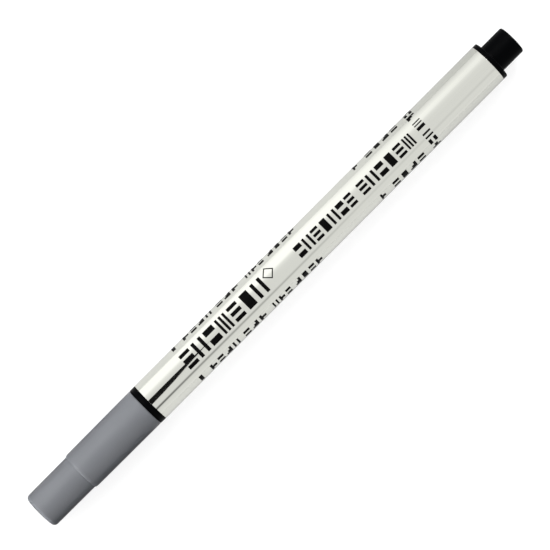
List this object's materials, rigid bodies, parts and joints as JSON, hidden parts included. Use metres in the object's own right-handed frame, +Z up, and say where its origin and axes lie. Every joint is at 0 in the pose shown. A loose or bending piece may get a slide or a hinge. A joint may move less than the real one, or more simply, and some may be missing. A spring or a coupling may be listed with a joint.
{
  "type": "rollerball pen refill",
  "caption": "Rollerball pen refill: slim printed metal ink tube with a black collar and tail plug, and a stepped grey push-on cap over its steel writing tip.",
  "frame": {"origin": "on the ground plane below the middle of the capped refill's length and below its axis", "axes": "+X along the refill's axis towards the tail stub, so the cap and tip point to -X; +Z up; the refill lies on z = 0 with its axis at z = 3.35 mm"},
  "size_m": [0.0996, 0.0066, 0.0067],
  "materials": {
    "tube_metal": "polished",
    "black_plastic": "satin",
    "tip_steel": "satin",
    "ball_carbide": "polished",
    "feed_plastic": "matte",
    "wick_fibre": "matte",
    "ink_fibre": "matte",
    "wrap_film": "gloss",
    "cap_plastic": "satin",
    "seal_rubber": "matte"
  },
  "bodies": {
    "refill": {"barrel_tube": "tube_metal", "nose_holder": "black_plastic", "tip_body": "tip_steel", "tip_feed_pin": "feed_plastic", "feed_wick": "wick_fibre", "reservoir_fibre": "ink_fibre", "reservoir_film": "wrap_film", "tail_plug": "black_plastic"},
    "cap": {"cap_shell": "cap_plastic", "cap_seal": "seal_rubber"},
    "ball": {"writing_ball": "ball_carbide"}
  },
  "joints": [
    {"name": "cap_pull", "type": "slide", "parent": "refill", "child": "cap", "axis": [-1, 0, 0], "range_m": [0, 0.03]},
    {"name": "ball_roll", "type": "hinge", "parent": "refill", "child": "ball", "pos_m": [-0.048, 0, 0.00335], "axis": [0, 1, 0], "continuous": true}
  ]
}
